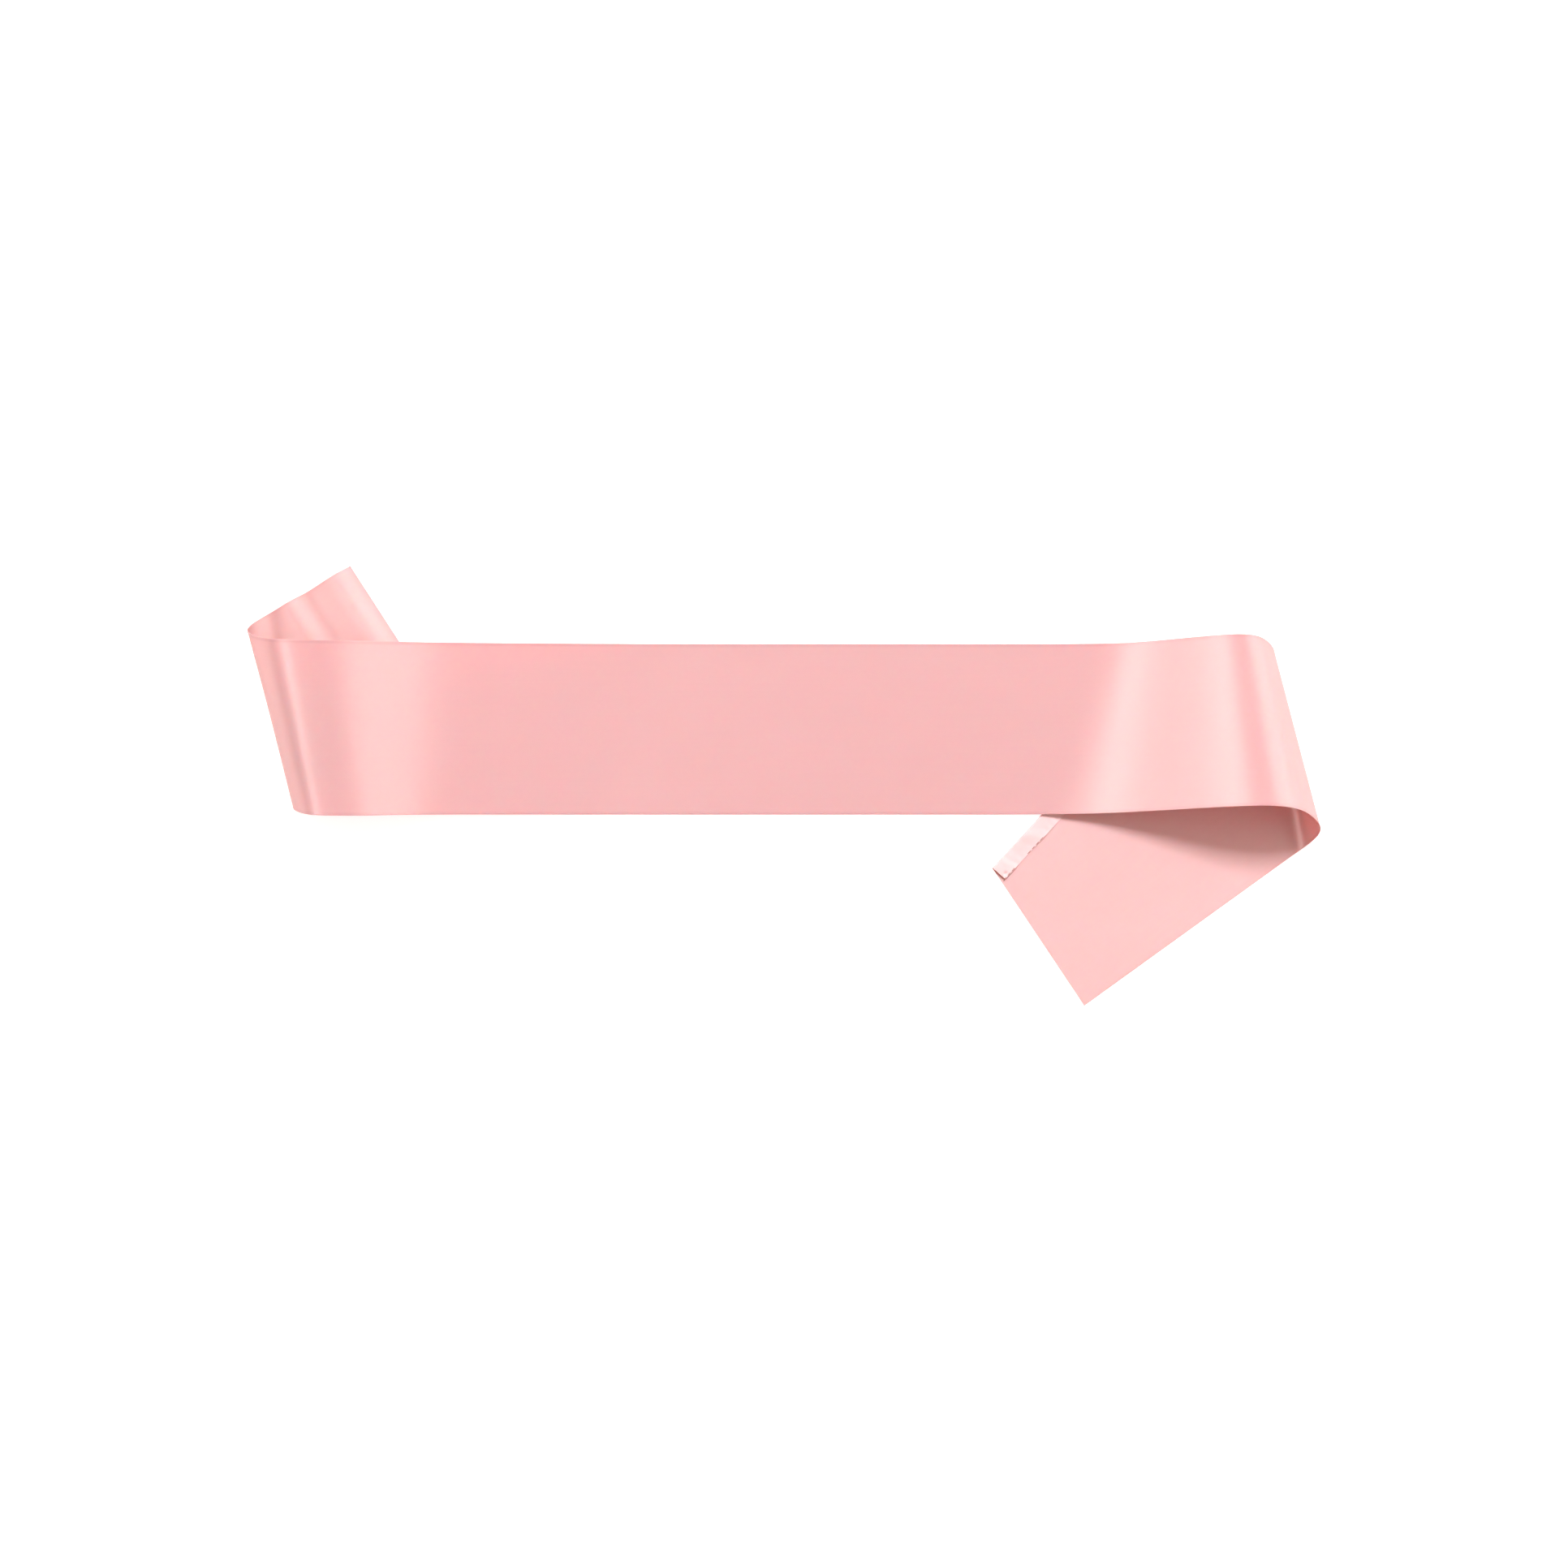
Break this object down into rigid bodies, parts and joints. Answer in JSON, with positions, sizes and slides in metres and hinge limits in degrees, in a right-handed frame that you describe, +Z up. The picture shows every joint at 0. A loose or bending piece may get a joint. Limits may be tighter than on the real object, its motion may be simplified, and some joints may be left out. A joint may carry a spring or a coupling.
{
  "type": "satin sash",
  "caption": "Satin ribbon sash laid flat on a table, both ends turned under in soft rolls, with short flat tails and a narrow stitched hem.",
  "frame": {"origin": "under the middle of the whole part, on the plane it lies on; the flat front's underside is on that plane there", "axes": "+X along the ribbon towards the end whose tail comes out in front, +Y across the ribbon away from the viewer, +Z up off the table"},
  "size_m": [0.62, 0.2576, 0.0559],
  "materials": {
    "satin_face": "satin, smooth and softly shiny, blush pink",
    "satin_back": "wrong side of satin, nearly matt, paler blush pink"
  },
  "bodies": {
    "root": {"front_band": "satin_face", "right_roll": "satin_face", "left_roll": "satin_face", "right_tail": "satin_back", "left_tail": "satin_back", "right_tail_hem": "satin_face"}
  },
  "joints": []
}
